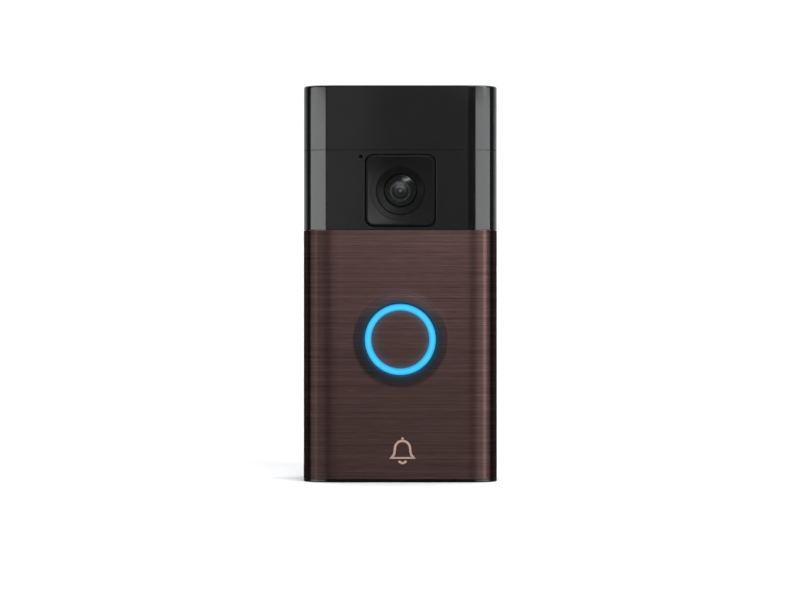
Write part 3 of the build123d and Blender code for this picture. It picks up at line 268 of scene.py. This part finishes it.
# ================================================================ materials
def brush_lines(tree):
    """Height of the brushing: sets of lines across the metal, each added in its share."""
    lines = 0.0
    for scale, detail, roughness, share in BRUSH_LINES:
        part = maths(tree, "MULTIPLY", grain(tree, scale, detail, roughness), share)
        lines = maths(tree, "ADD", lines, part)
    return lines


def bronze_tone(tree, lines, radius, paint_collar_shade):
    """Bronze streaked by its brushing, a little cloudy, with painted shade on the collar and a painted
    reflection tint at the sides.
    """
    tone = ramp(tree, lines, [(0.39, BRONZE_DARK), (0.5, BRONZE), (0.61, BRONZE_PALE)])
    cloud_tones = [(0.3, (0.93, 0.93, 0.93, 1)), (0.7, (1.05, 1.04, 1.03, 1))]
    clouds = ramp(tree, grain(tree, 30.0, 3.0), cloud_tones)
    tone = mixed(tree, 1.0, tone, clouds, "MULTIPLY")
    if paint_collar_shade:
        # Painted shade: the collar is darkened by radius, darkest next to the halo.
        rise = rescaled(tree, radius, HALO_OUTER, COLLAR_FOOT, 0.0, 1.0)
        collar_painted_shade = ramp(tree, rise, [(at, (grey, grey, grey, 1)) for at, grey in COLLAR_SHADE_GREYS])
        tone = mixed(tree, 1.0, tone, collar_painted_shade, "MULTIPLY")
    # Painted reflection: the sides of the plate are tinted cooler and brighter.
    offset = maths(tree, "ABSOLUTE", sideways(tree))
    flank_reflection_share = rescaled(tree, offset, FLANK_FROM, FLANK_TO, 0.0, 1.0)
    return mixed(tree, flank_reflection_share, tone, mixed(tree, 1.0, tone, BRONZE_FLANK_REFLECTION_TINT, "MULTIPLY"))


def add_glow(tree, shader, radius, glow_from, glow_reach):
    """Painted glow: blue light of the halo painted on the metal as emission, fading away from the halo's
    edge.
    """
    away = maths(tree, "ABSOLUTE", maths(tree, "SUBTRACT", radius, glow_from))
    depth = maths(tree, "DIVIDE", away, glow_reach)
    glow = maths(tree, "EXPONENT", maths(tree, "MULTIPLY", depth, -1.0))
    shader.inputs["Emission Color"].default_value = HALO_GLOW
    feed(tree, shader.inputs["Emission Strength"], maths(tree, "MULTIPLY", glow, HALO_GLOW_STRENGTH))


def brushed_bronze(glow_from, glow_reach, paint_collar_shade=True):
    """Bronze metal brushed across, with the halo's blue light painted on as a glow."""
    material, tree, shader = new_material("brushed_bronze")
    lines = brush_lines(tree)
    radius = radius_from(tree, 0.0, BUTTON_Z)
    feed(tree, shader.inputs["Base Color"], bronze_tone(tree, lines, radius, paint_collar_shade))
    shader.inputs["Metallic"].default_value = 1.0
    feed(tree, shader.inputs["Roughness"], rescaled(tree, lines, 0.35, 0.65, 0.42, 0.34))
    shader.inputs["Specular Tint"].default_value = BRONZE_GRAZING
    shader.inputs["Anisotropic"].default_value = 0.9
    shader.inputs["Anisotropic Rotation"].default_value = 0.25
    tangent = add_node(tree, "ShaderNodeTangent", direction_type="RADIAL", axis="Z")
    feed(tree, shader.inputs["Tangent"], tangent.outputs[0])
    bumped(tree, shader, lines, 0.006 * MM, 0.5)
    add_glow(tree, shader, radius, glow_from, glow_reach)
    return material


def gloss_black():
    """Polished black plastic with a faint mould ripple and slight smears."""
    material, tree, shader = new_material("gloss_black")
    shader.inputs["Base Color"].default_value = (0.004, 0.004, 0.0043, 1)
    smears = grain(tree, (40.0, 40.0, 90.0), 4.0, 0.6, 0.4)
    feed(tree, shader.inputs["Roughness"], rescaled(tree, smears, 0.3, 0.75, 0.05, 0.1))
    shader.inputs["IOR"].default_value = 1.5
    bumped(tree, shader, grain(tree, 55.0, 2.0), 0.01 * MM, 0.25)
    return material


def moulded_black(name, colour, rough=0.5):
    """Black moulding or rubber with a fine spark-eroded texture."""
    material, tree, shader = new_material(name)
    mottling = grain(tree, 180.0, 4.0)
    tones = [(0.3, toned(colour, 0.8)), (0.7, toned(colour, 1.2))]
    feed(tree, shader.inputs["Base Color"], ramp(tree, mottling, tones))
    texture = grain(tree, 6500.0, 2.0)
    vary_roughness(tree, shader, texture, rough - 0.08, rough + 0.08)
    bumped(tree, shader, texture, 0.02 * MM, 0.5)
    return material


def lit_halo():
    """Milky band lit from behind, deeper blue at its two edges, with a faint cloudiness."""
    material, tree, shader = new_material("lit_halo")
    radius = radius_from(tree, 0.0, BUTTON_Z)
    across = rescaled(tree, radius, CAP_RADIUS, HALO_OUTER, 0.0, 1.0)
    tone = ramp(tree, across, [
        (0.0, rgb(8, 145, 212)), (0.2, rgb(12, 182, 247)), (0.5, rgb(54, 206, 239)),
        (0.8, rgb(12, 182, 247)), (1.0, rgb(8, 142, 202)),
    ])
    cloud = grain(tree, 260.0, 2.0)
    shader.inputs["Base Color"].default_value = (0.01, 0.03, 0.04, 1)
    shader.inputs["Roughness"].default_value = 0.4
    feed(tree, shader.inputs["Emission Color"], tone)
    feed(tree, shader.inputs["Emission Strength"], rescaled(tree, cloud, 0.3, 0.7, 0.93, 1.03))
    return material


def panel_black():
    """Infrared-clear dark panel of the camera window, a touch more satin than the cover."""
    material, tree, shader = new_material("panel_black")
    shader.inputs["Base Color"].default_value = (0.0004, 0.0004, 0.0004, 1)
    vary_roughness(tree, shader, grain(tree, 400.0, 3.0), 0.16, 0.2)
    shader.inputs["IOR"].default_value = 1.36
    return material


def cone_black():
    """Ribbed satin cone round the lens, with painted shade as dark lines at its inner and outer edges.
    """
    material, tree, shader = new_material("cone_black")
    radius = radius_from(tree, 0.0, CAMERA_Z)
    ribs = maths(tree, "SINE", maths(tree, "MULTIPLY", radius, 2 * pi / CONE_RIB_PITCH))
    edges = rescaled(tree, radius, CONE_INNER, CONE_OUTER, 0.0, 1.0)
    # Painted shade: the cone is near-black close to its inner and outer edges.
    tones = [
        (0.02, CONE_EDGE_SHADE), (0.08, (0.0045, 0.0042, 0.0034, 1)),
        (0.84, (0.0035, 0.0032, 0.0026, 1)), (0.9, CONE_EDGE_SHADE),
    ]
    feed(tree, shader.inputs["Base Color"], ramp(tree, edges, tones))
    shader.inputs["Specular IOR Level"].default_value = 0.07
    vary_roughness(tree, shader, grain(tree, 900.0, 2.0), 0.4, 0.5)
    bumped(tree, shader, ribs, 0.01 * MM, 0.3)
    return material


def dome_glass():
    """Smoked dome with a faint green anti-reflection coat, blacked out round its rim."""
    material, tree, shader = new_material("dome_glass")
    radius = radius_from(tree, 0.0, CAMERA_Z)
    rim = rescaled(tree, radius, CLEAR_RADIUS, BLACK_RADIUS, 0.0, 1.0)
    feed(tree, shader.inputs["Base Color"], mixed(tree, rim, GLASS_SMOKED, GLASS_BLACKED))
    feed(tree, shader.inputs["Alpha"], rescaled(tree, rim, 0.0, 1.0, GLASS_COVERAGE, 1.0))
    shader.inputs["IOR"].default_value = 2.0
    shader.inputs["Specular Tint"].default_value = (0.84, 1.0, 0.88, 1)
    vary_roughness(tree, shader, grain(tree, 900.0, 3.0), 0.2, 0.23)
    return material


def lens_face_with_painted_reflections():
    """Purple-coated lens face, with painted reflections: a bright centre and bright and dark bands of
    the lens's inner surfaces, painted as rings by radius.
    """
    material, tree, shader = new_material("lens_face_with_painted_reflections")
    radius = radius_from(tree, 0.0, CAMERA_Z)
    # Painted reflections: rings of colour by radius stand in for the lens's bright centre and its inner
    # reflections.
    painted_reflection_rings = [
        (0.0, (0.95, 0.92, 1.0, 1)), (0.07, (0.8, 0.77, 0.85, 1)), (0.1, (0.14, 0.13, 0.16, 1)),
        (0.19, (0.26, 0.25, 0.3, 1)), (0.22, (0.006, 0.006, 0.007, 1)), (0.32, (0.008, 0.008, 0.009, 1)),
        (0.4, (0.1, 0.09, 0.105, 1)), (0.5, (0.3, 0.28, 0.31, 1)), (0.58, (0.11, 0.095, 0.115, 1)),
        (0.86, (0.12, 0.095, 0.125, 1)), (0.95, (0.45, 0.4, 0.45, 1)), (1.0, (0.1, 0.09, 0.1, 1)),
    ]
    share = maths(tree, "DIVIDE", radius, LENS_MOUTH)
    feed(tree, shader.inputs["Base Color"], ramp(tree, share, painted_reflection_rings))
    shader.inputs["Metallic"].default_value = 1.0
    vary_roughness(tree, shader, grain(tree, 900.0, 3.0), 0.28, 0.36)
    return material


def barrel_black():
    """Blackened lens barrel with a painted highlight: a bright ring round its mouth."""
    material, tree, shader = new_material("barrel_black")
    radius = radius_from(tree, 0.0, CAMERA_Z)
    # Painted highlight: a bright band round the barrel's mouth.
    tones = [
        (0.97, BARREL_BLACK), (0.99, (0.36, 0.32, 0.37, 1)),
        (1.02, (0.26, 0.23, 0.27, 1)), (1.05, BARREL_BLACK),
    ]
    half_share = rescaled(tree, radius, 0.0, 2 * LENS_MOUTH, 0.0, 1.0)
    stops = [(at / 2, colour) for at, colour in tones]
    feed(tree, shader.inputs["Base Color"], ramp(tree, half_share, stops))
    shader.inputs["Specular IOR Level"].default_value = 0.1
    vary_roughness(tree, shader, grain(tree, 900.0, 2.0), 0.5, 0.6)
    return material


def plated_metal(name, colour, rough):
    """Bare or plated metal with faint handling marks."""
    material, tree, shader = new_material(name)
    marks = grain(tree, (600.0, 600.0, 120.0), 4.0, 0.6)
    tones = [(0.3, toned(colour, 0.82)), (0.65, toned(colour, 1.0))]
    feed(tree, shader.inputs["Base Color"], ramp(tree, marks, tones))
    shader.inputs["Metallic"].default_value = 1.0
    vary_roughness(tree, shader, marks, rough, rough + 0.12)
    bumped(tree, shader, marks, 0.01 * MM, 0.2)
    return material


def smooth_plastic(name, colour, rough=0.35):
    """Plain moulded plastic with slight flow marks."""
    material, tree, shader = new_material(name)
    flow = grain(tree, (90.0, 90.0, 240.0), 3.0)
    tones = [(0.3, toned(colour, 0.88)), (0.7, toned(colour, 1.0))]
    feed(tree, shader.inputs["Base Color"], ramp(tree, flow, tones))
    vary_roughness(tree, shader, flow, rough - 0.05, rough + 0.07)
    bumped(tree, shader, grain(tree, 2500.0, 2.0), 0.006 * MM, 0.3)
    return material


def solder_resist():
    """Green board with copper runs showing through as slightly lighter lines."""
    material, tree, shader = new_material("solder_resist")
    runs = grain(tree, (700.0, 700.0, 90.0), 1.0)
    weave = grain(tree, 4000.0, 1.0)
    tones = [
        (0.42, (0.008, 0.07, 0.03, 1)), (0.5, (0.02, 0.13, 0.055, 1)), (0.58, (0.009, 0.08, 0.034, 1)),
    ]
    feed(tree, shader.inputs["Base Color"], ramp(tree, runs, tones))
    shader.inputs["Roughness"].default_value = 0.3
    bumped(tree, shader, weave, 0.01 * MM, 0.3)
    return material


def champagne_inlay():
    """Satin champagne finish of the bell mark, lined like the plate."""
    material, tree, shader = new_material("champagne_inlay")
    lines = grain(tree, (60.0, 60.0, 4200.0), 3.0, 0.6)
    tones = [(0.3, rgb(138, 111, 99)), (0.7, rgb(158, 130, 117))]
    feed(tree, shader.inputs["Base Color"], ramp(tree, lines, tones))
    vary_roughness(tree, shader, lines, 0.5, 0.6)
    bumped(tree, shader, lines, 0.004 * MM, 0.4)
    return material


def studio_white():
    """Matt pale floor and wall, seen through from behind."""
    material, tree, shader = new_material("studio_white")
    tones = [(0.3, (0.84, 0.84, 0.84, 1)), (0.7, (0.87, 0.87, 0.87, 1))]
    feed(tree, shader.inputs["Base Color"], ramp(tree, grain(tree, 8.0, 2.0), tones))
    shader.inputs["Roughness"].default_value = 0.9
    shader.inputs["Specular IOR Level"].default_value = 0.1
    from_behind = add_node(tree, "ShaderNodeNewGeometry").outputs["Backfacing"]
    looked_at = add_node(tree, "ShaderNodeLightPath").outputs["Is Camera Ray"]
    clear = add_node(tree, "ShaderNodeBsdfTransparent")
    blend = add_node(tree, "ShaderNodeMixShader")
    feed(tree, blend.inputs[0], maths(tree, "MULTIPLY", from_behind, looked_at))
    feed(tree, blend.inputs[1], shader.outputs[0])
    feed(tree, blend.inputs[2], clear.outputs[0])
    feed(tree, tree.nodes["Material Output"].inputs["Surface"], blend.outputs[0])
    return material


# ================================================================ bell mark
def bezier(start, first, second, end, count=14):
    """Points along a curve in the X-Z plane, from its two ends and their handles."""
    points = interpolate_bezier(*(Vector((x, 0, z)) for x, z in (start, first, second, end)), count)
    return [(p.x, p.z) for p in points]


def stroke_prism(bm, line, closed):
    """Flat band of even width along a line of (x, z) points in millimetres, let into the plate."""
    points = [Vector((x * MM, z * MM)) for x, z in line]
    count = len(points)
    rims = []
    for i, point in enumerate(points):
        before = points[i - 1] if closed or i else point
        after = points[(i + 1) % count] if closed or i + 1 < count else point
        ahead = (after - point).normalized() if after != point else (point - before).normalized()
        behind = (point - before).normalized() if point != before else ahead
        middle = (ahead + behind).normalized()
        reach = BELL_STROKE / 2 / max(middle.dot(ahead), CORNER_LIMIT)
        side = Vector((-middle.y, middle.x)) * reach
        rims.append((point + side, point - side))
    front = FRONT_Y - BELL_PROUD
    back = front + BELL_DEPTH
    loops = []
    for outer, inner in rims:
        corners = [(outer, front), (inner, front), (inner, back), (outer, back)]
        loops.append([bm.verts.new((BELL_X + at.x, y, BELL_Z + at.y)) for at, y in corners])
    pairs = list(zip(loops, loops[1:])) + ([(loops[-1], loops[0])] if closed else [])
    for one, two in pairs:
        for k in range(4):
            bm.faces.new((one[k], one[(k + 1) % 4], two[(k + 1) % 4], two[k]))
    if not closed:
        bm.faces.new(loops[0])
        bm.faces.new(list(reversed(loops[-1])))


def add_bell_mark():
    """Line drawing of a bell: body, clapper below and stub above."""
    side = bezier(*BELL_LOWER_SIDE) + bezier(*BELL_UPPER_SIDE)[1:]
    body = side + [(-x, z) for x, z in reversed(side[:-1])]
    steps = range(CLAPPER_STEPS + 1)
    turns = [radians(CLAPPER_FROM + CLAPPER_SWEEP * i / CLAPPER_STEPS) for i in steps]
    clapper = [(CLAPPER_RADIUS * cos(turn), CLAPPER_Z + CLAPPER_RADIUS * sin(turn)) for turn in turns]
    bm = bmesh.new()
    stroke_prism(bm, body, closed=True)
    stroke_prism(bm, clapper, closed=False)
    stroke_prism(bm, BELL_STUB, closed=False)
    bmesh.ops.recalc_face_normals(bm, faces=bm.faces)
    mesh = bpy.data.meshes.new("bell_mark")
    bm.to_mesh(mesh)
    bm.free()
    mesh.materials.append(champagne_inlay())
    mark = bpy.data.objects.new("bell_mark", mesh)
    bpy.context.scene.collection.objects.link(mark)
    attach(mark, "faceplate_body")


# ================================================================ finish of the frame's nodes
def paint(material, *nodes):
    for name in nodes:
        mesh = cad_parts[name].data
        mesh.materials.clear()
        mesh.materials.append(material)


def paint_frame():
    paint(brushed_bronze(HALO_OUTER, PLATE_GLOW_REACH), "faceplate")
    paint(brushed_bronze(CAP_RADIUS, CAP_GLOW_REACH, paint_collar_shade=False), "button_cap")
    paint(gloss_black(), "camera_cover", "motion_window", "front_housing")
    paint(panel_black(), "camera_bezel")
    paint(cone_black(), "lens_surround")
    paint(dome_glass(), "lens_glass")
    paint(barrel_black(), "lens_barrel")
    paint(lit_halo(), "halo_diffuser")
    paint(moulded_black("rear_moulding", (0.018, 0.018, 0.02)), "rear_housing")
    paint(moulded_black("bracket_moulding", (0.028, 0.028, 0.03), 0.56), "mounting_bracket")
    paint(moulded_black("inner_moulding", (0.02, 0.02, 0.02), 0.45), "lens_seat", "speaker",
          "speaker_cone", "call_switch", "setup_switch", "board_chips")
    paint(moulded_black("soft_rubber", (0.016, 0.016, 0.016), 0.75), "housing_gasket", "camera_gasket",
          "button_gasket", "speaker_gasket", "battery_pad", "mic_membrane")
    paint(smooth_plastic("white_moulding", (0.72, 0.72, 0.7)), "button_carrier", "battery_connector",
          "call_switch_plunger", "setup_switch_plunger", "halo_leds", "ir_leds")
    paint(smooth_plastic("orange_button", (0.85, 0.22, 0.02), 0.28), "setup_button")
    paint(smooth_plastic("label_film", (0.42, 0.42, 0.43), 0.4), "rating_label")
    paint(smooth_plastic("battery_film", (0.07, 0.09, 0.14), 0.35), "battery_cell")
    paint(smooth_plastic("lead_red", (0.45, 0.03, 0.02), 0.45), "battery_leads")
    paint(smooth_plastic("flex_amber", (0.5, 0.22, 0.03), 0.3), "camera_flex", "button_flex")
    paint(solder_resist(), "camera_board", "ir_board", "motion_board", "main_board", "button_board")
    paint(plated_metal("tin_plate", (0.68, 0.68, 0.68), 0.28), "shield_can", "motion_sensors",
          "usb_port", "microphone")
    paint(plated_metal("zinc_screw", (0.5, 0.5, 0.5), 0.34), "case_screws", "board_screws",
          "terminal_screws", "security_screws")
    paint(plated_metal("brass_plate", (0.72, 0.54, 0.26), 0.3), "terminal_plates")
    paint(plated_metal("copper_foil", (0.78, 0.4, 0.24), 0.3), "wifi_antenna")
    paint(lens_face_with_painted_reflections(), "lens_elements")
    paint(smooth_plastic("sensor_face", (0.02, 0.05, 0.06), 0.1), "image_sensor")


# ================================================================ studio
def area_light(name, direction, distance, width, height, radiance):
    """Soft panel facing the doorbell from a direction, with a stated brightness of its surface."""
    light = bpy.data.lights.new(name, "AREA")
    light.shape = "RECTANGLE"
    light.size = width
    light.size_y = height
    light.energy = radiance * pi * width * height
    light.color = LIGHT_COLOUR
    holder = bpy.data.objects.new(name, light)
    bpy.context.scene.collection.objects.link(holder)
    holder.location = Vector(direction).normalized() * distance
    holder.rotation_euler = Vector(direction).to_track_quat("Z", "Y").to_euler()
    return holder


def bearing(turn, height):
    """Direction at so many degrees to the right of the front, and above the horizon."""
    flat = cos(radians(height))
    return (sin(radians(turn)) * flat, -cos(radians(turn)) * flat, sin(radians(height)))


def panel_between(name, turns, heights, distance, radiance):
    """Soft panel that fills a range of bearings and of heights, in degrees, at a distance."""
    turn = sum(turns) / 2
    height = sum(heights) / 2
    width = 2 * distance * tan(radians((turns[1] - turns[0]) / 2))
    tall = 2 * distance * tan(radians((heights[1] - heights[0]) / 2))
    return area_light(name, bearing(turn, height), distance, width, tall, radiance)


def flag_off(lights, *nodes):
    """Keeps lights off some of the frame's nodes, as black cards would."""
    shaded = bpy.data.collections.new("flagged_" + lights[0].name)
    for name in nodes:
        shaded.objects.link(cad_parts[name])
    for holder in lights:
        holder.light_linking.receiver_collection = shaded
    for entry in shaded.collection_objects:
        entry.light_linking.link_state = "EXCLUDE"


def shine_on(holder, *nodes):
    """Keeps a light to some of the frame's nodes, as a snoot would."""
    lit = bpy.data.collections.new("lit_by_" + holder.name)
    for name in nodes:
        lit.objects.link(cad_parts[name])
    holder.light_linking.receiver_collection = lit


def add_sheet(name, line, material):
    """Wide sheet of the studio along a line of (y, z) points."""
    bm = bmesh.new()
    rows = [[bm.verts.new((x, y, z)) for x in (-STUDIO_HALF, STUDIO_HALF)] for y, z in line]
    for low, high in zip(rows, rows[1:]):
        bm.faces.new((low[0], low[1], high[1], high[0])).smooth = True
    mesh = bpy.data.meshes.new(name)
    bm.to_mesh(mesh)
    bm.free()
    mesh.materials.append(material)
    sheet = bpy.data.objects.new(name, mesh)
    bpy.context.scene.collection.objects.link(sheet)
    return sheet


def add_studio():
    white = studio_white()
    bend_y = STUDIO_BACK - STUDIO_BEND
    turns = [i * pi / (2 * BEND_STEPS) for i in range(BEND_STEPS + 1)]
    bend = [(bend_y + STUDIO_BEND * sin(a), FLOOR_Z + STUDIO_BEND * (1 - cos(a))) for a in turns]
    floor = add_sheet("studio_floor", [(STUDIO_FRONT, FLOOR_Z), bend[0]], white)
    floor.visible_glossy = False
    add_sheet("studio_wall", bend + [(STUDIO_BACK, STUDIO_TOP)], white)
    lights = {name: panel_between(name, *spread) for name, spread in SOFT_PANELS.items()}
    sides = [lights[name] for name in ("soft_left", "soft_right", "soft_left_high", "soft_right_high")]
    flag_off(sides, "lens_glass", "lens_elements", "camera_bezel")
    flag_off([lights["fill_left"], lights["fill_right"]], "front_housing")
    shine_on(lights["window_glow"], "camera_bezel")
    flag_off([lights["soft_top"]], "lens_glass", "motion_window", "camera_cover", "front_housing")
    area_light("soft_sweep", (0.0, 0.25, 1.0), distance=1.5, width=2.6, height=1.2, radiance=2.9)
    world = bpy.data.worlds.new("studio_room")
    world.use_nodes = True
    looked_at = add_node(world.node_tree, "ShaderNodeLightPath").outputs["Is Camera Ray"]
    air = mixed(world.node_tree, looked_at, AIR_DARK, AIR_PALE)
    feed(world.node_tree, world.node_tree.nodes["Background"].inputs["Color"], air)
    bpy.context.scene.world = world
    bpy.context.scene.view_settings.view_transform = "Standard"


def add_camera():
    data = bpy.data.cameras.new("view")
    data.lens = LENS_LENGTH
    data.sensor_width = SENSOR_WIDTH
    data.shift_y = LENS_SHIFT
    camera = bpy.data.objects.new("view", data)
    bpy.context.scene.collection.objects.link(camera)
    camera.location = (CAMERA_X, FRONT_Y - CAMERA_DISTANCE, 0.0)
    camera.rotation_euler = (radians(90), 0, 0)
    bpy.context.scene.camera = camera


paint_frame()
add_bell_mark()
add_studio()
add_camera()
